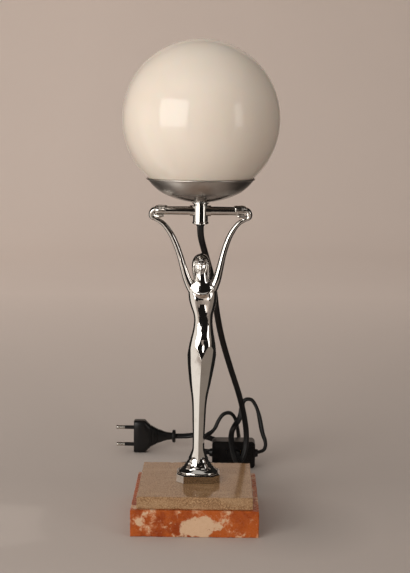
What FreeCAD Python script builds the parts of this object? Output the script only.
"""Figural table lamp, in millimetres.

Frame: origin on the base's underside, straight below the lamp's axis, +Z up, the figure faces -Y.
Every sub-part is written to parts/NODE.step.
"""
import FreeCAD, Part
import math
import os

Vec = FreeCAD.Vector
UP = Vec(0, 0, 1)
SIDEWAYS = Vec(1, 0, 0)
BACKWARD = Vec(0, 1, 0)

# ---------------------------------------------------------------- base sizes
lower_slab_width = 110.0
lower_slab_depth = 106.0
lower_slab_height = 23.5
upper_slab_width = 99.5
upper_slab_depth = 100.5
upper_slab_height = 10.8
slab_chamfer = 0.6
base_offset = -2.0
stud_radius = 3.0
stud_hole_clearance = 1.0
counterbore_radius = 12.0
counterbore_depth = 9.0
washer_radius = 10.0
washer_thickness = 1.6
nut_width = 10.0
nut_height = 5.0
stud_below_nut = 1.4
stud_in_plinth = 9.0
thread_clearance = 0.03

# -------------------------------------------------------------- figure sizes
plinth_width = 38.6
plinth_depth = 29.4
plinth_corner = 6.5
plinth_height = 7.2
plinth_bevel = 1.4
mound_half_width = 17.0
mound_half_depth = 12.6
mound_height = 20.0
ankle_height = 34.0
ankle_half_width = 5.3
ankle_half_depth = 5.2
knee_above_ankle = 38.0
knee_sway = 0.5
knee_half_width = 6.6
knee_half_depth = 6.35
thigh_above_knee = 19.0
thigh_sway = 1.1
thigh_half_width = 9.9
thigh_half_depth = 8.7
hip_above_thigh = 25.0
hip_sway = 2.3
hip_half_width = 12.5
hip_half_depth = 9.5
hem_below_hip = 10.0
hem_half_depth = 10.25
belly_above_hip = 9.0
belly_half_width = 11.25
belly_half_depth = 8.9
waist_above_hip = 28.0
waist_sway = 3.3
waist_half_width = 8.0
waist_half_depth = 6.25
waist_blend = 9.0
chest_above_waist = 24.0
chest_sway = 2.5
chest_half_width = 12.3
chest_half_depth = 7.7
rib_half_width = 10.7
shoulder_above_chest = 9.0
shoulder_sway = 1.8
shoulder_half_width = 11.5
shoulder_half_depth = 5.8
neck_rise = 3.0
neck_radius = 4.3
neck_foot_width = 5.8
neck_foot_depth = 4.5
head_above_shoulder = 15.6
head_sway = 0.8
head_half_width = 7.5
head_half_depth = 8.6
head_half_height = 10.6
hair_extra = 0.5
hair_back = 1.2
hair_rise = 0.6
nose_length = 3.4
nose_depth = 1.5
nose_root = 1.4
nose_under = 0.9
brow_rise = 1.2
chin_drop = 7.4
chin_forward = 4.6
chin_half_width = 3.4
chin_half_depth = 3.2
chin_half_height = 2.6
# shares of the mound's height and of its spread beyond the ankles
mound_shares = [(0.05, 0.97), (0.19, 0.76), (0.41, 0.44), (0.58, 0.3), (0.75, 0.13), (1.0, 0.0)]
# one side of the dress outline, as shares of its half width and half depth
dress_corners = [(0.78, -0.42), (1.0, 0.12), (0.62, 0.82)]

# --------------------------------------------------- arms, bar and hub sizes
arm_root_offset = 8.4
arm_root_below_shoulder = 5.0
arm_root_radius = 3.7
upper_arm_radius = 3.2
arm_middle_radius = 2.7
lower_arm_radius = 2.45
wrist_radius = 2.2
arm_depth_share = 1.15
wrist_beyond_bar = 4.0
wrist_below_bar = 6.9
# (share of the reach, share of the rise, half width) along an arm
arm_stations = [
    (0.0, 0.0, arm_root_radius),
    (0.14, 0.14, arm_root_radius),
    (0.22, 0.31, upper_arm_radius),
    (0.316, 0.48, arm_middle_radius),
    (0.414, 0.65, arm_middle_radius),
    (0.536, 0.8, lower_arm_radius),
    (0.72, 0.928, wrist_radius),
    (1.0, 1.0, wrist_radius),
]
bar_radius = 3.4
bar_above_shoulder = 63.5
bar_end_offset = 38.0
bar_in_hub = 5.6
hand_half_depth = 5.2
hand_half_height = 5.0
finger_radius = 1.35
finger_length = 9.0
finger_angles = (-60, -20, 20, 60)
palm_drop = 1.4
palm_beyond_bar = 1.6
palm_extra_height = 0.6
wrist_inset = 0.6
wrist_lift = 0.4
wrist_bulge = 1.3
wrist_bulge_depth = 1.5
finger_gap = 0.6
finger_root = 2.0
hub_radius = 6.5
hub_half_height = 8.1
hub_below_bar = 3.3
hub_lip = 0.6
hub_lip_height = 2.2
hub_boss_radius = 4.7
hub_boss_length = 2.6
hub_edge = 0.5
fixed_clearance = 0.03

# -------------------------------------------- nipple, cup and globe sizes
nipple_radius = 5.0
nipple_bore = 4.0
nipple_in_hub = 9.0
flange_height = 2.4
flange_foot_radius = 6.0
flange_top_radius = 7.6
flange_edge = 0.6
cup_radius = 46.4
cup_depth = 21.0
cup_floor_radius = 72.0
cup_knee_radius = 30.0
cup_thickness = 0.7
cup_bead = 0.7
cup_bead_proud = 0.3
lock_nut_width = 15.0
lock_nut_height = 3.0
globe_radius = 67.5
globe_thickness = 2.6
globe_seat_clearance = 0.25
globe_neck_radius = 27.5
globe_neck_clearance = 0.9

# ------------------------------------------------ lampholder and bulb sizes
holder_radius = 13.9
holder_wall = 2.4
holder_cap_foot = 9.0
holder_cap_height = 12.0
holder_cap_wall = 1.8
holder_cap_slope = 5.4
holder_edge = 1.0
holder_sleeve_height = 33.0
holder_ledge = 0.9
insert_height = 6.0
insert_clearance = 0.05
shell_radius = 7.7
shell_thickness = 0.5
shell_height = 21.0
contact_radius = 1.9
contact_height = 2.4
contact_gap = 1.6
terminal_radius = 1.5
terminal_length = 3.2
terminal_offset = 6.5
wire_hole_radius = 1.2
sleeve_mouth_radius = 8.4
sleeve_mouth_height = 2.0
sleeve_mouth_slope = 2.0
bulb_cap_radius = 6.95
bulb_cap_wall = 0.4
bulb_cap_height = 19.5
bulb_seat_gap = 0.1
bulb_pip_radius = 2.3
bulb_pip_height = 1.4
bulb_insulator_height = 2.5
bulb_insulator_lip = 0.4
bulb_insulator_step = 0.6
bulb_cap_edge = 0.2
bulb_radius = 22.5
bulb_glass_thickness = 0.8
bulb_neck_radius = 9.0
bulb_neck_gap = 1.0
bulb_centre_above_neck = 27.5
bulb_cone_touch = 38
bulb_neck_in_cap = 7.0
stem_radius = 2.6
stem_height = 17.0
filament_ring_radius = 7.0
filament_above_stem = 8.0
filament_wire = 0.35
filament_root = 0.6

# -------------------------------------------------------------- flex sizes
flex_width = 5.8
flex_radius = flex_width / 2
flex_inner_top = 33.0
bush_radius = 4.2
bush_length = 8.0
bush_lip_radius = 3.6
bush_lip_height = 1.9
bush_edge = 0.5
bush_clearance = 0.05
coil_outer_radius = 33.5
coil_turn_pitch = 6.4
coil_layer_pitch = 6.4
coil_floor_gap = 0.1
coil_half_turns = 4
coil_behind_slab = 1.6
coil_offset = -2.0
run_share = 0.45

# ------------------------------------------------------------ switch sizes
switch_length = 44.0
switch_height = 28.0
switch_depth = 16.0
switch_centre_x = 34.0
switch_centre_y = 150.0
switch_corner = 4.0
switch_wall = 2.0
switch_end_wall = 8.0
switch_rib_width = 0.9
switch_rib_pitch = 1.9
switch_rib_depth = 0.6
switch_ribs = 4
switch_rib_start = 1.6
sleeve_length = 3.0
sleeve_root_radius = 4.4
sleeve_tip_radius = 3.6
flex_hole_clearance = 0.05
rocker_half_length = 7.0
rocker_half_height = 4.2
rocker_side_clearance = 0.6
rocker_end_clearance = 0.6
rocker_proud = 1.6
rocker_depth = 4.0
rocker_tilt = 8.0
rocker_ridge = 1.0
rocker_draft = 0.56
rocker_below_pivot = 1.6
pivot_depth = 2.6
pivot_radius = 1.2
pivot_length = 1.5
pivot_clearance = 0.05
pivot_end_clearance = 0.3
contact_block = 5.0
contact_thickness = 1.2
contact_spread = 5.5
screw_radius = 1.3
screw_head_radius = 2.4
screw_head_height = 1.6
screw_inset = 4.1
screw_drop = 7.5
screw_head_clearance = 0.1
screw_head_sunk = 0.3
screw_tip_cover = 2.0

# -------------------------------------------------------------- plug sizes
plug_face_x = -71.8
plug_y = 196.0
plug_half_height = 17.65
plug_block_length = 12.4
plug_shoulder_length = 17.6
plug_shoulder_half = 12.4
plug_grip_length = 27.0
plug_grip_half = 7.3
plug_neck_length = 35.6
plug_neck_half = 4.3
plug_tail_length = 40.8
plug_tail_half = 3.7
plug_collar_length = 3.8
plug_collar_radius = 6.9
plug_thickness = 13.7
plug_grooves = 5
plug_groove_width = 0.8
plug_groove_depth = 0.7
plug_edge = 1.2
plug_flex_depth = 8.0
plug_straight_run = 11.0
pin_spacing = 18.6
pin_radius = 2.0
pin_length = 19.0
pin_core_radius = 1.5
pin_tip_fillet = 1.2
pin_sleeve_step = 0.05
pin_sleeve_length = 10.0
pin_in_body = 7.0

# ------------------------------------------------- flex routes, hand chosen
drop_route = [
    (0.0, 0.0, 261.5),
    (0.0, 0.0, 254.5),
    (1.8, 7.0, 245.5),
    (4.6, 16.0, 234.5),
    (8.8, 24.5, 219.0),
    (12.4, 30.0, 202.0),
    (14.6, 35.5, 182.0),
    (19.2, 52.0, 155.0),
    (28.2, 80.0, 120.0),
    (38.6, 111.0, 84.0),
    (44.6, 127.5, 56.0),
    (47.0, 131.5, 36.0),
    (45.0, 130.0, 18.0),
    (36.5, 126.0, 5.5),
    (22.0, 124.5, 3.0),
]
rise_route = [
    (20.0, 58.0, 9.4),
    (38.0, 63.5, 9.6),
    (45.5, 80.0, 9.2),
    (44.0, 99.0, 9.6),
    (36.5, 115.0, 14.0),
    (31.5, 127.5, 26.0),
    (31.0, 138.0, 37.0),
    (34.0, 156.5, 39.5),
    (40.5, 163.5, 46.5),
    (42.2, 166.0, 56.0),
    (43.4, 167.0, 65.6),
    (52.3, 167.0, 67.2),
    (57.3, 165.5, 59.4),
    (59.8, 164.0, 52.0),
    (61.5, 161.5, 44.5),
    (63.5, 157.0, 33.5),
    (68.0, 152.5, 23.0),
    (64.5, 150.0, 14.0),
]
lead_route = [
    (1.0, 150.0, 14.0),
    (-4.0, 154.5, 20.0),
    (3.5, 161.5, 27.0),
    (14.0, 165.0, 33.0),
    (18.0, 167.5, 43.0),
    (23.5, 169.5, 50.5),
    (31.5, 171.5, 51.0),
    (37.0, 174.5, 42.0),
    (39.0, 179.0, 28.5),
    (41.0, 185.5, 15.0),
    (44.5, 194.0, 6.5),
    (42.0, 204.0, 3.6),
    (29.5, 208.0, 5.0),
    (16.0, 202.0, 12.0),
    (3.0, 194.5, 18.6),
    (-8.0, 193.5, 20.0),
]

# ------------------------------------------------------------ worked out
base_top = lower_slab_height + upper_slab_height
plinth_top = base_top + plinth_height
ankle_z = base_top + ankle_height
knee_z = ankle_z + knee_above_ankle
thigh_z = knee_z + thigh_above_knee
hip_z = thigh_z + hip_above_thigh
waist_z = hip_z + waist_above_hip
chest_z = waist_z + chest_above_waist
shoulder_z = chest_z + shoulder_above_chest
head_z = shoulder_z + head_above_shoulder
bar_z = shoulder_z + bar_above_shoulder
wrist_offset = bar_end_offset + wrist_beyond_bar
wrist_z = bar_z - wrist_below_bar
arm_root_z = shoulder_z - arm_root_below_shoulder
hem_sway = hip_sway + (thigh_sway - hip_sway) * hem_below_hip / hip_above_thigh
neck_sway = 0.5 * (shoulder_sway + head_sway)
hub_centre_z = bar_z - hub_below_bar
hub_bottom = hub_centre_z - hub_half_height
hub_top = hub_centre_z + hub_half_height
cup_bottom = hub_top + flange_height
cup_floor = cup_bottom + cup_thickness
cup_rim = cup_bottom + cup_depth
cup_floor_centre = cup_bottom + cup_floor_radius
knee_angle = math.asin(cup_knee_radius / cup_floor_radius)
wall_span = cup_radius - cup_knee_radius
wall_rise = cup_depth - cup_floor_radius * (1 - math.cos(knee_angle))
wall_lean = math.cos(knee_angle) * wall_rise - math.sin(knee_angle) * wall_span
cup_wall_radius = (wall_span ** 2 + wall_rise ** 2) / (2 * wall_lean)
wall_centre_x = (cup_floor_radius - cup_wall_radius) * math.sin(knee_angle)
wall_centre_z = cup_floor_centre - (cup_floor_radius - cup_wall_radius) * math.cos(knee_angle)
wall_above_rim = wall_centre_z - cup_rim
cup_inner_radius = wall_centre_x + math.sqrt((cup_wall_radius - cup_thickness) ** 2
                                             - wall_above_rim ** 2)
seat_radius = cup_inner_radius - globe_seat_clearance
globe_centre = cup_rim + math.sqrt(globe_radius ** 2 - seat_radius ** 2)
globe_inner_radius = globe_radius - globe_thickness
lock_nut_corner = lock_nut_width / math.sqrt(3)
floor_inside = cup_floor_radius - cup_thickness
nut_seat = cup_floor + floor_inside - math.sqrt(floor_inside ** 2 - lock_nut_corner ** 2)
holder_foot = nut_seat + lock_nut_height
cap_top = holder_foot + holder_cap_height
insert_top = cap_top + insert_height
sleeve_top = cap_top + holder_sleeve_height
bulb_foot = insert_top + contact_height + bulb_seat_gap
bulb_insulator_z = bulb_foot + bulb_pip_height
bulb_cap_z = bulb_insulator_z + bulb_insulator_height
bulb_cap_top = bulb_cap_z + bulb_cap_height
bulb_neck_z = max(sleeve_top, bulb_cap_top) + bulb_neck_gap
bulb_centre = bulb_neck_z + bulb_centre_above_neck
switch_centre_z = switch_height / 2
switch_front = switch_centre_y - switch_depth / 2
switch_back = switch_centre_y + switch_depth / 2
switch_left = switch_centre_x - switch_length / 2
switch_right = switch_centre_x + switch_length / 2
flex_hole = flex_radius + flex_hole_clearance
coil_centre_y = lower_slab_depth / 2 + coil_behind_slab + coil_outer_radius + flex_radius
coil_low_z = flex_radius + coil_floor_gap


# -------------------------------------------------------------- helpers
def save(shape, node):
    shape.exportStep("parts/%s.step" % node)
    print("%-22s %10.1f mm3 valid %s" % (node, shape.Volume, shape.isValid()))


def rod(radius, low, high, x=0.0, y=0.0):
    return Part.makeCylinder(radius, high - low, Vec(x, y, low), UP)


def tube(outer, inner, low, high):
    return rod(outer, low, high).cut(rod(inner, low - 1, high + 1))


def block(width, depth, low, high, x=0.0, y=0.0):
    return Part.makeBox(width, depth, high - low, Vec(x - width / 2, y - depth / 2, low))


def turned(corners):
    """Solid of revolution about Z through (radius, z) corners."""
    points = [Vec(radius, 0, z) for radius, z in corners]
    outline = Part.makePolygon(points + [points[0]])
    return Part.Face(outline).revolve(Vec(0, 0, 0), UP, 360)


def ellipsoid(centre, half_x, half_y, half_z):
    ball = Part.makeSphere(1.0)
    scale = FreeCAD.Matrix()
    scale.scale(Vec(half_x, half_y, half_z))
    ball = ball.transformGeometry(scale)
    ball.translate(centre)
    return ball


def ellipse_wire(centre, half_x, half_y):
    """Level ellipse, with its seam at the back."""
    long_x = half_x >= half_y
    curve = Part.Ellipse(Vec(0, 0, 0), max(half_x, half_y), min(half_x, half_y))
    wire = Part.Wire(curve.toShape())
    if not long_x:
        wire.rotate(Vec(0, 0, 0), UP, 90)
    wire.translate(centre)
    return wire


def polygon_wire(points):
    return Part.makePolygon(points + [points[0]])


def mirrored(shape):
    return shape.mirror(Vec(0, 0, 0), SIDEWAYS)


def hexagon(width, low, high):
    """Hexagonal prism of the given width across flats."""
    corner = width / math.sqrt(3)
    points = []
    for step in range(6):
        angle = math.radians(60 * step + 30)
        points.append(Vec(corner * math.cos(angle), corner * math.sin(angle), low))
    return Part.Face(polygon_wire(points)).extrude(Vec(0, 0, high - low))


# -------------------------------------------------------------- flex helpers
def round_path(points):
    """Straight runs joined by tangent arcs, each as large as its runs allow."""
    points = [Vec(*point) for point in points]
    edges = []
    radii = []
    start = points[0]
    for index in range(1, len(points) - 1):
        before = points[index] - points[index - 1]
        after = points[index + 1] - points[index]
        turn = before.getAngle(after)
        setback = run_share * min(before.Length, after.Length)
        radii.append(setback / math.tan(turn / 2))
        into = points[index] - Vec(before).normalize() * setback
        out = points[index] + Vec(after).normalize() * setback
        middle_direction = (into + out) * 0.5 - points[index]
        sagitta_share = 1 / math.cos(turn / 2) - 1
        bulge = radii[-1] * sagitta_share
        middle = points[index] + Vec(middle_direction).normalize() * bulge
        edges.append(Part.LineSegment(start, into).toShape())
        edges.append(Part.Arc(into, middle, out).toShape())
        start = out
    edges.append(Part.LineSegment(start, points[-1]).toShape())
    return Part.Wire(edges), radii


def pipe(path, start, direction):
    """Round flex swept along a path that starts at a point in a direction."""
    section = Part.Wire(Part.makeCircle(flex_radius, start, direction))
    return path.makePipeShell([section], True, False)


def flex_along(points, label):
    path, radii = round_path(points)
    solid = pipe(path, Vec(*points[0]), Vec(*points[1]) - Vec(*points[0]))
    expected = math.pi * flex_radius ** 2 * path.Length
    tightest = min(radii) / flex_width
    share = solid.Volume / expected
    print("%s: length %.1f, tightest %.1f diameters, volume share %.4f"
          % (label, path.Length, tightest, share))
    print("  radii " + " ".join("%.0f" % radius for radius in radii))
    return solid


def half_turn(start, reach):
    """Half circle from start, leaving along -X or +X; reach is its vector across."""
    sign = -1 if reach.y < 0 else 1
    side = Vec(sign * reach.Length / 2, 0, 0)
    return Part.Arc(start, start + reach * 0.5 + side, start + reach).toShape()


def coil_edges():
    """Spiral in, climb one layer in the half turn that reverses, spiral out."""
    point = Vec(coil_offset, coil_centre_y + coil_outer_radius, coil_low_z)
    edges = []
    radius = coil_outer_radius
    for step in range(coil_half_turns):
        direction = -1 if step % 2 == 0 else 1
        reach = Vec(0, direction * 2 * radius, 0)
        edges.append(half_turn(point, reach))
        point = point + reach
        radius -= coil_turn_pitch / 2
    level = math.sqrt((2 * radius) ** 2 - coil_layer_pitch ** 2)
    reach = Vec(0, -level, coil_layer_pitch)
    edges.append(half_turn(point, reach))
    point = point + reach
    for step in range(coil_half_turns):
        radius += coil_turn_pitch / 2
        direction = 1 if step % 2 == 0 else -1
        reach = Vec(0, direction * 2 * radius, 0)
        edges.append(half_turn(point, reach))
        point = point + reach
    return edges, point


def least_self_gap(edges):
    """Smallest clear space between stretches more than a half turn apart."""
    samples = []
    run = 0.0
    for edge in edges:
        for point in edge.discretize(24)[:-1]:
            samples.append((run + (point - edge.Vertexes[0].Point).Length, point))
        run += edge.Length
    apart = 3 * flex_width
    least = 1e9
    for first in range(len(samples)):
        for second in range(first + 10, len(samples)):
            if samples[second][0] - samples[first][0] > apart:
                least = min(least, (samples[second][1] - samples[first][1]).Length)
    return least - flex_width


# -------------------------------------------------------------- base
def slab(width, depth, low, high):
    """Slab round the stud, with its middle a little to one side."""
    stone = block(width, depth, low, high, base_offset)
    stone = stone.makeChamfer(slab_chamfer, stone.Edges)
    hole = stud_radius + stud_hole_clearance
    return stone.cut(rod(hole, low - 1, high + 1))


def build_base():
    lower = slab(lower_slab_width, lower_slab_depth, 0, lower_slab_height)
    lower = lower.cut(rod(counterbore_radius, -1, counterbore_depth))
    upper = slab(upper_slab_width, upper_slab_depth, lower_slab_height, base_top)
    washer_low = counterbore_depth - washer_thickness
    nut_low = washer_low - nut_height
    hole = stud_radius + thread_clearance
    save(lower, "lower_marble_slab")
    save(upper, "upper_stone_slab")
    save(tube(washer_radius, hole, washer_low, counterbore_depth), "base_washer")
    nut = hexagon(nut_width, nut_low, washer_low)
    save(nut.cut(rod(hole, nut_low - 1, washer_low + 1)), "base_nut")
    save(rod(stud_radius, nut_low - stud_below_nut, base_top + stud_in_plinth), "base_stud")


# -------------------------------------------------------------- figure
def octagon_wire(half_width, half_depth, corner, z):
    points = [
        Vec(-half_width + corner, -half_depth, z),
        Vec(half_width - corner, -half_depth, z),
        Vec(half_width, -half_depth + corner, z),
        Vec(half_width, half_depth - corner, z),
        Vec(half_width - corner, half_depth, z),
        Vec(-half_width + corner, half_depth, z),
        Vec(-half_width, half_depth - corner, z),
        Vec(-half_width, -half_depth + corner, z),
    ]
    return polygon_wire(points)


def plinth():
    half_width = plinth_width / 2
    half_depth = plinth_depth / 2
    wires = [
        octagon_wire(half_width, half_depth, plinth_corner, base_top),
        octagon_wire(half_width, half_depth, plinth_corner, plinth_top - plinth_bevel),
        octagon_wire(half_width - plinth_bevel, half_depth - plinth_bevel,
                     plinth_corner, plinth_top),
    ]
    return Part.makeLoft(wires, True, True)


def dress_wire(half_width, half_depth, z, sway=0.0):
    """Eight-sided dress section with a sharp ridge down the front."""
    right = [(x * half_width, y * half_depth) for x, y in dress_corners]
    points = [Vec(sway, -half_depth, z)]
    points += [Vec(sway + x, y, z) for x, y in right]
    points.append(Vec(sway, half_depth, z))
    points += [Vec(sway - x, y, z) for x, y in reversed(right)]
    return polygon_wire(points)


def dress():
    sections = [
        (plinth_top + mound_height, ankle_half_width, ankle_half_depth, 0.0),
        (ankle_z, ankle_half_width, ankle_half_depth, 0.0),
        (knee_z, knee_half_width, knee_half_depth, knee_sway),
        (thigh_z, thigh_half_width, thigh_half_depth, thigh_sway),
        (hip_z - hem_below_hip, hip_half_width, hem_half_depth, hem_sway),
        (hip_z, hip_half_width, hip_half_depth, hip_sway),
    ]
    wires = [dress_wire(half_width, half_depth, z, sway)
             for z, half_width, half_depth, sway in sections]
    return Part.makeLoft(wires, True, False)


def mound():
    """Spreading hem that stands on the plinth."""
    low = plinth_top
    span_x = mound_half_width - ankle_half_width
    span_y = mound_half_depth - ankle_half_width
    wires = [dress_wire(mound_half_width, mound_half_depth, low)]
    for share_up, share_out in mound_shares:
        width = ankle_half_width + span_x * share_out
        deep = ankle_half_width + span_y * share_out
        wires.append(dress_wire(width, deep, low + mound_height * share_up))
    return Part.makeLoft(wires, True, False)


def torso():
    belly_sway = hip_sway + (waist_sway - hip_sway) * belly_above_hip / waist_above_hip
    middle_width = 0.5 * (belly_half_width + waist_half_width)
    rib_depth = 0.5 * (waist_half_depth + chest_half_depth)
    sections = [
        (hip_z - hem_below_hip, belly_half_width, hip_half_depth, hem_sway),
        (hip_z, hip_half_width, hip_half_depth, hip_sway),
        (hip_z + belly_above_hip, belly_half_width, belly_half_depth, belly_sway),
        (waist_z - waist_blend, middle_width, waist_half_depth, waist_sway),
        (waist_z, waist_half_width, waist_half_depth, waist_sway),
        (0.5 * (waist_z + chest_z), rib_half_width, rib_depth, 0.5 * (waist_sway + chest_sway)),
        (chest_z, chest_half_width, chest_half_depth, chest_sway),
        (shoulder_z, shoulder_half_width, shoulder_half_depth, shoulder_sway),
        (shoulder_z + neck_rise, neck_foot_width, neck_foot_depth, neck_sway),
    ]
    wires = []
    for z, half_width, half_depth, sway in sections:
        wires.append(ellipse_wire(Vec(sway, 0, z), half_width, half_depth))
    return Part.makeLoft(wires, True, False)


def head():
    centre = Vec(head_sway, 0, head_z)
    neck = rod(neck_radius, shoulder_z, head_z, neck_sway)
    skull = ellipsoid(centre, head_half_width, head_half_depth, head_half_height)
    hair = ellipsoid(centre + Vec(0, hair_back, hair_rise), head_half_width + hair_extra,
                     head_half_depth, head_half_height)
    bridge_z = head_z + brow_rise
    front = -head_half_depth
    nose = Part.Face(polygon_wire([
        Vec(0, front + nose_root, bridge_z),
        Vec(0, front - nose_depth, bridge_z - nose_length),
        Vec(0, front + nose_root, bridge_z - nose_length - nose_under),
    ])).extrude(Vec(nose_depth, 0, 0))
    nose.translate(Vec(head_sway - nose_depth / 2, 0, 0))
    chin = ellipsoid(centre + Vec(0, -chin_forward, -chin_drop),
                     chin_half_width, chin_half_depth, chin_half_height)
    return neck.fuse([skull, hair, nose, chin])


def figure_solid():
    body = plinth().fuse([mound(), dress(), torso(), head()])
    body = body.removeSplitter()
    stud_hole = rod(stud_radius + thread_clearance, base_top - 1, base_top + stud_in_plinth)
    return body.cut(stud_hole)


def arm_centres(root):
    """(x, z, half width) stations from inside the shoulder to the wrist."""
    reach = wrist_offset - root
    rise = wrist_z - arm_root_z
    centres = []
    for share_out, share_up, radius in arm_stations:
        centres.append((root + share_out * reach, arm_root_z + share_up * rise, radius))
    return centres


def arm(root):
    centres = arm_centres(root)
    wires = []
    for index, (x, z, radius) in enumerate(centres):
        before = centres[max(index - 1, 0)]
        after = centres[min(index + 1, len(centres) - 1)]
        heading = Vec(after[0] - before[0], 0, after[1] - before[1]).normalize()
        section = ellipse_wire(Vec(0, 0, 0), radius, radius * arm_depth_share)
        tilt = math.degrees(math.atan2(heading.x, heading.z))
        section.rotate(Vec(0, 0, 0), Vec(0, 1, 0), tilt)
        section.translate(Vec(x, 0, z))
        wires.append(section)
    return Part.makeLoft(wires, True, False)


def hand():
    palm = ellipsoid(Vec(bar_end_offset + palm_beyond_bar, 0, bar_z - palm_drop),
                     hand_half_height, hand_half_depth,
                     hand_half_height + palm_extra_height)
    wrist = ellipsoid(Vec(wrist_offset - wrist_inset, 0, wrist_z + wrist_lift),
                      wrist_radius * wrist_bulge, wrist_radius * wrist_bulge_depth,
                      wrist_radius * wrist_bulge)
    shapes = [palm, wrist]
    ring = bar_radius + finger_gap
    tip = bar_end_offset - finger_length
    for angle in finger_angles:
        y = ring * math.sin(math.radians(angle))
        z = bar_z + ring * math.cos(math.radians(angle))
        finger = Part.makeCylinder(finger_radius, finger_length + finger_root,
                                   Vec(tip, y, z), SIDEWAYS)
        shapes.append(finger)
        shapes.append(Part.makeSphere(finger_radius, Vec(tip, y, z)))
    return shapes


def arm_with_hand(side, body):
    """Arm on the right (side 1) or on the left (side -1), trimmed to the body."""
    shape = arm(arm_root_offset + side * shoulder_sway).fuse(hand())
    bore = Part.makeCylinder(bar_radius + fixed_clearance, bar_end_offset,
                             Vec(0, 0, bar_z), SIDEWAYS)
    shape = shape.cut(bore)
    if side < 0:
        shape = mirrored(shape)
    return max(shape.cut(body).Solids, key=lambda solid: solid.Volume)


def build_figure():
    body = figure_solid()
    save(body, "figure_casting")
    save(arm_with_hand(-1, body), "left_arm")
    save(arm_with_hand(1, body), "right_arm")


# -------------------------------------------------------------- bar and hub
def build_bar_and_hub():
    inner_end = bar_in_hub
    bar = Part.makeCylinder(bar_radius, bar_end_offset - fixed_clearance - inner_end,
                            Vec(inner_end, 0, bar_z), SIDEWAYS)
    save(mirrored(bar), "left_crossbar")
    save(bar, "right_crossbar")
    lip_radius = hub_radius + hub_lip
    hub = turned([
        (0, hub_bottom),
        (lip_radius - hub_edge, hub_bottom),
        (lip_radius, hub_bottom + hub_edge),
        (lip_radius, hub_bottom + hub_lip_height - hub_edge),
        (hub_radius, hub_bottom + hub_lip_height),
        (hub_radius, hub_top - hub_edge),
        (hub_radius - hub_edge, hub_top),
        (0, hub_top),
    ])
    boss_reach = hub_radius + hub_boss_length
    boss = Part.makeCylinder(hub_boss_radius, 2 * boss_reach, Vec(-boss_reach, 0, bar_z), SIDEWAYS)
    hub = hub.fuse(boss)
    hole_radius = bar_radius + fixed_clearance
    hole = Part.makeCylinder(hole_radius, boss_reach, Vec(inner_end, 0, bar_z), SIDEWAYS)
    hub = hub.cut([hole, mirrored(hole)])
    hub = hub.cut(rod(nipple_radius + fixed_clearance, hub_top - nipple_in_hub, hub_top + 1))
    hub = hub.cut(rod(bush_radius + bush_clearance, hub_bottom - 1, hub_top))
    save(hub, "centre_hub")
    flange = turned([
        (nipple_radius + fixed_clearance, hub_top),
        (flange_foot_radius, hub_top),
        (flange_foot_radius, hub_top + flange_edge),
        (flange_top_radius, cup_bottom - flange_edge),
        (flange_top_radius, cup_bottom),
        (nipple_radius + fixed_clearance, cup_bottom),
    ])
    save(flange, "neck_flange")
    nipple_low = hub_top - nipple_in_hub
    nipple_high = holder_foot + holder_cap_wall
    save(tube(nipple_radius, nipple_bore, nipple_low, nipple_high), "hollow_nipple")
    bush_bore = flex_radius + bush_clearance
    bush = turned([
        (bush_bore, hub_bottom - bush_lip_height),
        (bush_lip_radius - bush_edge, hub_bottom - bush_lip_height),
        (bush_lip_radius, hub_bottom - bush_lip_height + bush_edge),
        (bush_lip_radius, hub_bottom),
        (bush_radius, hub_bottom),
        (bush_radius, hub_bottom + bush_length - bush_lip_height),
        (bush_bore, hub_bottom + bush_length - bush_lip_height),
    ])
    save(bush, "cord_bush")


# -------------------------------------------------------------- cup and globe
def cup_profile(inset):
    """Outer bowl outline moved inwards: floor arc, tangent wall arc, rim."""
    wall = cup_wall_radius - inset
    floor = cup_floor_radius - inset
    rim_angle = math.acos(wall_above_rim / wall)
    middle_angle = 0.5 * (knee_angle + rim_angle)

    def on_arc(x, z, radius, angle):
        return Vec(x + radius * math.sin(angle), 0, z - radius * math.cos(angle))

    bottom = on_arc(0, cup_floor_centre, floor, 0)
    floor_middle = on_arc(0, cup_floor_centre, floor, knee_angle / 2)
    joint = on_arc(0, cup_floor_centre, floor, knee_angle)
    wall_middle = on_arc(wall_centre_x, wall_centre_z, wall, middle_angle)
    rim = on_arc(wall_centre_x, wall_centre_z, wall, rim_angle)
    edges = [
        Part.Arc(bottom, floor_middle, joint).toShape(),
        Part.Arc(joint, wall_middle, rim).toShape(),
        Part.LineSegment(rim, Vec(0, 0, cup_rim)).toShape(),
        Part.LineSegment(Vec(0, 0, cup_rim), bottom).toShape(),
    ]
    return Part.Face(Part.Wire(edges)).revolve(Vec(0, 0, 0), UP, 360)


def build_cup():
    cup = cup_profile(0).cut(cup_profile(cup_thickness))
    bead_centre = Vec(0, 0, cup_rim - cup_bead)
    bead = Part.makeTorus(cup_radius - cup_bead + cup_bead_proud, cup_bead, bead_centre, UP)
    inside = rod(cup_inner_radius, cup_rim - 4 * cup_bead, cup_rim + cup_bead)
    cup = cup.fuse(bead.cut(inside))
    cup = cup.cut(rod(nipple_radius + fixed_clearance, cup_bottom - 1, cup_floor + 1))
    save(cup, "gallery_cup")
    lock_nut = hexagon(lock_nut_width, nut_seat, holder_foot)
    lock_nut = lock_nut.cut(rod(nipple_radius + fixed_clearance, nut_seat - 1, holder_foot + 1))
    save(lock_nut, "cup_lock_nut")


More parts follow.
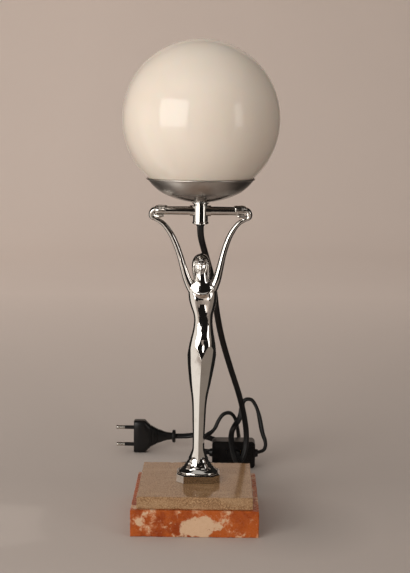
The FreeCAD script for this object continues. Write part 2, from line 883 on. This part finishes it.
def build_globe():
    """Ball on the cup's rim, with a short neck that stops above the cup's floor."""
    centre = Vec(0, 0, globe_centre)
    neck_rise_in_cup = floor_inside - math.sqrt(floor_inside ** 2 - globe_neck_radius ** 2)
    neck_low = cup_floor + neck_rise_in_cup + globe_neck_clearance
    sphere_z = globe_centre - math.sqrt(globe_radius ** 2 - globe_neck_radius ** 2)
    cut_z = max(sphere_z, neck_low)
    neck_inner = globe_neck_radius - globe_thickness
    ball = Part.makeSphere(globe_radius, centre)
    ball = ball.cut(rod(globe_radius, globe_centre - 2 * globe_radius, cut_z))
    neck = rod(globe_neck_radius, neck_low, cut_z + globe_thickness)
    outside = ball.fuse(neck)
    hollow = Part.makeSphere(globe_inner_radius, centre)
    throat = rod(neck_inner, neck_low - 1, globe_centre)
    globe = outside.cut(hollow.fuse(throat))
    save(globe, "opal_globe")


# -------------------------------------------------------------- lampholder
def build_holder():
    bore = nipple_radius + fixed_clearance
    ledge = holder_radius - holder_wall - holder_ledge
    cap = turned([
        (bore, holder_foot),
        (holder_cap_foot, holder_foot),
        (holder_radius, holder_foot + holder_cap_slope),
        (holder_radius, cap_top),
        (ledge, cap_top),
        (ledge, holder_foot + holder_cap_slope + holder_edge),
        (holder_cap_foot - holder_cap_wall, holder_foot + holder_cap_wall),
        (bore, holder_foot + holder_cap_wall),
    ])
    save(cap, "holder_cap")
    inner = holder_radius - holder_wall
    sleeve = turned([
        (inner, cap_top),
        (holder_radius, cap_top),
        (holder_radius, sleeve_top - holder_edge),
        (holder_radius - holder_edge, sleeve_top),
        (sleeve_mouth_radius, sleeve_top),
        (sleeve_mouth_radius, sleeve_top - sleeve_mouth_height),
        (inner, sleeve_top - sleeve_mouth_height - sleeve_mouth_slope),
    ])
    save(sleeve, "holder_sleeve")
    insert = rod(inner - insert_clearance, cap_top, insert_top)
    wire_hole = rod(wire_hole_radius, cap_top - 1, insert_top + 1, 0, terminal_offset)
    save(insert.cut(wire_hole), "holder_insert")
    shell = tube(shell_radius, shell_radius - shell_thickness, insert_top, insert_top + shell_height)
    floor_ring = tube(shell_radius, contact_radius + contact_gap, insert_top,
                      insert_top + shell_thickness)
    save(shell.fuse(floor_ring), "screw_shell")
    save(rod(contact_radius, insert_top, insert_top + contact_height), "centre_contact")
    screws = []
    for x in (-terminal_offset, terminal_offset):
        screws.append(rod(terminal_radius, cap_top - terminal_length, cap_top, x))
    save(Part.makeCompound(screws), "terminal_screws")


def bulb_outline(inset):
    """Bulb body: ball, cone and neck, moved inwards by inset."""
    radius = bulb_radius - inset
    ball = Part.makeSphere(radius, Vec(0, 0, bulb_centre))
    shoulder = math.radians(bulb_cone_touch)
    touch_radius = radius * math.cos(shoulder)
    touch_z = bulb_centre - radius * math.sin(shoulder)
    cone_low = bulb_neck_z + inset
    cone = Part.makeCone(bulb_neck_radius - inset, touch_radius, touch_z - cone_low,
                         Vec(0, 0, cone_low), UP)
    neck_low = bulb_cap_top - bulb_neck_in_cap
    neck_radius_in_cap = bulb_cap_radius - bulb_cap_wall - insert_clearance - inset
    neck = rod(neck_radius_in_cap, neck_low + inset, cone_low + inset)
    return ball.fuse([cone, neck])


def build_bulb():
    save(rod(bulb_pip_radius, bulb_foot, bulb_insulator_z), "bulb_contact")
    insulator = Part.makeCone(bulb_pip_radius + bulb_insulator_lip,
                              bulb_cap_radius - bulb_insulator_step,
                              bulb_insulator_height, Vec(0, 0, bulb_insulator_z), UP)
    save(insulator, "bulb_cap_insulator")
    cap = tube(bulb_cap_radius, bulb_cap_radius - bulb_cap_wall, bulb_cap_z, bulb_cap_top)
    cap_floor = rod(bulb_cap_radius - bulb_cap_edge, bulb_cap_z, bulb_cap_z + bulb_cap_wall)
    save(cap.fuse(cap_floor), "bulb_cap")
    save(bulb_outline(0).cut(bulb_outline(bulb_glass_thickness)), "bulb_glass")
    stem_foot = bulb_cap_top - bulb_neck_in_cap + bulb_glass_thickness
    stem_top = stem_foot + stem_height
    save(rod(stem_radius, stem_foot, stem_top), "bulb_stem")
    ring_z = stem_top + filament_above_stem
    filament = Part.makeTorus(filament_ring_radius, filament_wire, Vec(0, 0, ring_z), UP)
    for side in (-1, 1):
        foot = Vec(side * (stem_radius - filament_root), 0, stem_top)
        top = Vec(side * filament_ring_radius, 0, ring_z)
        lead = Part.makeCylinder(filament_wire, (top - foot).Length, foot, top - foot)
        filament = filament.fuse(lead)
    stem_cut = rod(stem_radius, stem_foot, stem_top)
    save(filament.cut(stem_cut), "bulb_filament")


# -------------------------------------------------------------- flex
def build_flex():
    save(rod(flex_radius, drop_route[0][2], hub_bottom + flex_inner_top), "flex_in_hub")
    edges, coil_end = coil_edges()
    coil_start = Vec(coil_offset, coil_centre_y + coil_outer_radius, coil_low_z)
    coil = pipe(Part.Wire(edges), coil_start, Vec(-1, 0, 0))
    length = sum(edge.Length for edge in edges)
    share = coil.Volume / (math.pi * flex_radius ** 2 * length)
    print("coil: length %.1f, volume share %.4f, least self gap %.2f"
          % (length, share, least_self_gap(edges)))
    save(coil, "flex_coil")
    start = (coil_start.x, coil_start.y, coil_start.z)
    end = (coil_end.x, coil_end.y, coil_end.z)
    right_end = switch_right - switch_end_wall
    left_end = switch_left + switch_end_wall
    plug_end = plug_face_x + plug_tail_length + plug_collar_length - plug_flex_depth
    drop = flex_along(drop_route + [start], "flex drop")
    save(drop, "flex_drop")
    rise = flex_along([end] + rise_route + [(right_end, switch_centre_y, switch_centre_z)],
                      "flex rise")
    save(rise, "flex_rise")
    lead_points = [(left_end, switch_centre_y, switch_centre_z)] + lead_route
    plug_approach = plug_face_x + plug_tail_length + plug_collar_length + plug_straight_run
    lead_points.append((plug_approach, plug_y, plug_half_height))
    lead_points.append((plug_end, plug_y, plug_half_height))
    save(flex_along(lead_points, "flex lead"), "flex_lead")


# -------------------------------------------------------------- switch
def rounded_switch(low_y, high_y):
    """Slice of the rounded switch body between two depths."""
    body = block(switch_length, high_y - low_y, 0, switch_height,
                 switch_centre_x, 0.5 * (low_y + high_y))
    upright = []
    for edge in body.Edges:
        first, last = edge.Vertexes[0].Point, edge.Vertexes[-1].Point
        if abs(first.y - last.y) > 0.5 * (high_y - low_y):
            upright.append(edge)
    return body.makeFillet(switch_corner, upright)


def switch_screw_places():
    return [
        (switch_left + screw_inset, switch_centre_z - screw_drop),
        (switch_right - screw_inset, switch_centre_z + screw_drop),
    ]


def along_y(radius, start, end, x, z):
    return Part.makeCylinder(radius, end - start, Vec(x, start, z), BACKWARD)


def rocker_solid():
    """Shallow V-topped rocker with its pivots, tilted to its off position."""
    pivot_y = switch_front + pivot_depth
    top = switch_front - rocker_proud
    low = pivot_y + rocker_below_pivot
    foot = rocker_half_length - rocker_draft
    points = [
        Vec(-rocker_half_length, top, 0),
        Vec(0, top + rocker_ridge, 0),
        Vec(rocker_half_length, top, 0),
        Vec(foot, low, 0),
        Vec(-foot, low, 0),
    ]
    body = Part.Face(polygon_wire(points)).extrude(Vec(0, 0, 2 * rocker_half_height))
    body.translate(Vec(0, 0, -rocker_half_height))
    reach = rocker_half_height + pivot_length
    pivot = Part.makeCylinder(pivot_radius, 2 * reach, Vec(0, pivot_y, -reach), UP)
    rocker = body.fuse(pivot)
    rocker.rotate(Vec(0, pivot_y, 0), UP, -rocker_tilt)
    rocker.translate(Vec(switch_centre_x, 0, switch_centre_z))
    return rocker


def build_switch():
    front = rounded_switch(switch_front, switch_centre_y)
    rear = rounded_switch(switch_centre_y, switch_back)
    inside_length = switch_length - 2 * switch_end_wall
    inside_low = switch_wall
    inside_high = switch_height - switch_wall
    window_floor = switch_front + pivot_depth + rocker_depth
    window_length = 2 * (rocker_half_length + rocker_end_clearance)
    window_height = 2 * (rocker_half_height + rocker_side_clearance)
    front = front.cut(block(inside_length, switch_centre_y - window_floor, inside_low, inside_high,
                            switch_centre_x, 0.5 * (switch_centre_y + window_floor)))
    window_low = switch_centre_z - window_height / 2
    front = front.cut(block(window_length, window_floor - switch_front + 2, window_low,
                            window_low + window_height, switch_centre_x,
                            0.5 * (window_floor + switch_front)))
    reach = rocker_half_height + pivot_length + pivot_end_clearance
    pivot_hole = Part.makeCylinder(
        pivot_radius + pivot_clearance, 2 * reach,
        Vec(switch_centre_x, switch_front + pivot_depth, switch_centre_z - reach), UP)
    front = front.cut(pivot_hole)
    rear = rear.cut(block(inside_length, switch_depth / 2 - switch_wall, inside_low, inside_high,
                          switch_centre_x, switch_centre_y + (switch_depth / 2 - switch_wall) / 2))
    flex_passage = Part.makeCylinder(
        flex_hole, switch_length + 2,
        Vec(switch_left - 1, switch_centre_y, switch_centre_z), SIDEWAYS)
    front = front.cut(flex_passage)
    rear = rear.cut(flex_passage)
    for end in (0, 1):
        for rib in range(switch_ribs):
            offset = switch_rib_start + rib * switch_rib_pitch + switch_rib_width / 2
            x = switch_left + offset if end == 0 else switch_right - offset
            groove = block(switch_rib_width, 2 * switch_rib_depth, -1, switch_height + 1,
                           x, switch_front)
            front = front.cut(groove)
    screws = []
    for x, z in switch_screw_places():
        tip = switch_front + switch_wall + screw_tip_cover
        head_low = switch_back - screw_head_height
        shank = along_y(screw_radius, tip, head_low, x, z)
        screw_head = along_y(screw_head_radius, head_low,
                             switch_back - screw_head_sunk, x, z)
        screws.append(shank.fuse(screw_head))
        front = front.cut(along_y(screw_radius + fixed_clearance, tip, switch_centre_y, x, z))
        rear = rear.cut(along_y(screw_radius + fixed_clearance, switch_centre_y - 1,
                                switch_back, x, z))
        rear = rear.cut(along_y(screw_head_radius + screw_head_clearance, head_low,
                                switch_back + 1, x, z))
    save(front, "switch_front_shell")
    save(rear, "switch_rear_shell")
    save(rocker_solid(), "switch_rocker")
    save(Part.makeCompound(screws), "switch_screws")
    floor_y = switch_back - switch_wall
    blocks = []
    for side in (-1, 1):
        blocks.append(block(contact_block, contact_thickness, switch_centre_z - contact_block / 2,
                            switch_centre_z + contact_block / 2,
                            switch_centre_x + side * contact_spread, floor_y - contact_thickness / 2))
    save(Part.makeCompound(blocks), "switch_contacts")
    sleeves = []
    for side in (-1, 1):
        root = Vec(switch_centre_x + side * switch_length / 2, switch_centre_y, switch_centre_z)
        cone = Part.makeCone(sleeve_root_radius, sleeve_tip_radius, sleeve_length,
                             root, Vec(side, 0, 0))
        sleeves.append(cone.cut(flex_passage).cut(Part.makeCylinder(
            flex_hole, sleeve_length + 1, root, Vec(side, 0, 0))))
    save(Part.makeCompound(sleeves), "switch_sleeves")


# -------------------------------------------------------------- plug
def plug_outline():
    """Upper and lower outline of the plug's broad side, from face to tail."""
    stations = [
        (0.0, plug_half_height),
        (plug_block_length, plug_half_height),
        (plug_shoulder_length, plug_shoulder_half),
        (plug_grip_length, plug_grip_half),
        (plug_neck_length, plug_neck_half),
        (plug_tail_length, plug_tail_half),
    ]
    upper = [Vec(plug_face_x + x, 0, plug_half_height + half) for x, half in stations]
    lower = [Vec(plug_face_x + x, 0, plug_half_height - half) for x, half in stations]
    return upper + list(reversed(lower))


def plug_body_solid():
    side = Part.Face(polygon_wire(plug_outline())).extrude(Vec(0, plug_thickness, 0))
    side.translate(Vec(0, plug_y - plug_thickness / 2, 0))
    thin = plug_tail_half
    plan = Part.Face(polygon_wire([
        Vec(plug_face_x, -plug_thickness / 2, 0),
        Vec(plug_face_x + plug_block_length, -plug_thickness / 2, 0),
        Vec(plug_face_x + plug_neck_length, -thin, 0),
        Vec(plug_face_x + plug_tail_length, -thin, 0),
        Vec(plug_face_x + plug_tail_length, thin, 0),
        Vec(plug_face_x + plug_neck_length, thin, 0),
        Vec(plug_face_x + plug_block_length, plug_thickness / 2, 0),
        Vec(plug_face_x, plug_thickness / 2, 0),
    ])).extrude(Vec(0, 0, 2 * plug_half_height))
    plan.translate(Vec(0, plug_y, 0))
    body = side.common(plan)
    long_edges = [edge for edge in body.Edges
                  if abs(edge.CenterOfMass.x - plug_face_x - plug_block_length / 2) < 0.1
                  and edge.Length < plug_block_length + 0.1]
    body = body.makeFillet(plug_edge, long_edges)
    spacing = (plug_grip_length - plug_shoulder_length) / plug_grooves
    for index in range(plug_grooves):
        x = plug_face_x + plug_shoulder_length + (index + 0.5) * spacing
        half = plug_shoulder_half + (plug_grip_half - plug_shoulder_half) * (index + 0.5) / plug_grooves
        ring = block(plug_groove_width, 4 * plug_thickness, plug_half_height - 2 * half,
                     plug_half_height + 2 * half, x, plug_y)
        share = (x - plug_face_x - plug_block_length) / (plug_neck_length - plug_block_length)
        half_thick = plug_thickness / 2 + (thin - plug_thickness / 2) * share
        core = block(plug_groove_width + 1, 2 * (half_thick - plug_groove_depth),
                     plug_half_height - half + plug_groove_depth,
                     plug_half_height + half - plug_groove_depth, x, plug_y)
        body = body.cut(ring.cut(core))
    collar = Part.makeCylinder(plug_collar_radius, plug_collar_length,
                               Vec(plug_face_x + plug_tail_length, plug_y, plug_half_height),
                               SIDEWAYS)
    collar = collar.makeFillet(plug_edge, collar.Edges[0:1] + collar.Edges[2:3])
    return body.fuse(collar)


def build_plug():
    body = plug_body_solid()
    tail = plug_face_x + plug_tail_length + plug_collar_length
    body = body.cut(Part.makeCylinder(flex_hole, plug_flex_depth + 1,
                                      Vec(tail - plug_flex_depth, plug_y, plug_half_height),
                                      SIDEWAYS))
    pins = []
    sleeves = []
    for side in (-1, 1):
        z = plug_half_height + side * pin_spacing / 2
        tip_x = plug_face_x - pin_length
        bare_end = plug_face_x - pin_sleeve_length
        bare = Part.makeCylinder(pin_radius, bare_end - tip_x, Vec(tip_x, plug_y, z), SIDEWAYS)
        tip_edges = [edge for edge in bare.Edges if edge.CenterOfMass.x < tip_x + 0.1]
        bare = bare.makeFillet(pin_tip_fillet, tip_edges)
        core = Part.makeCylinder(pin_core_radius, pin_sleeve_length + pin_in_body,
                                 Vec(bare_end, plug_y, z), SIDEWAYS)
        pins.append(bare.fuse(core))
        outer = Part.makeCylinder(pin_radius - pin_sleeve_step, pin_sleeve_length,
                                  Vec(bare_end, plug_y, z), SIDEWAYS)
        sleeves.append(outer.cut(core))
        body = body.cut(Part.makeCylinder(pin_core_radius, pin_in_body,
                                          Vec(plug_face_x, plug_y, z), SIDEWAYS))
    save(body, "plug_body")
    save(Part.makeCompound(pins), "plug_pins")
    save(Part.makeCompound(sleeves), "pin_sleeves")


os.makedirs("parts", exist_ok=True)
build_base()
build_figure()
build_bar_and_hub()
build_cup()
build_globe()
build_holder()
build_bulb()
build_flex()
build_switch()
build_plug()
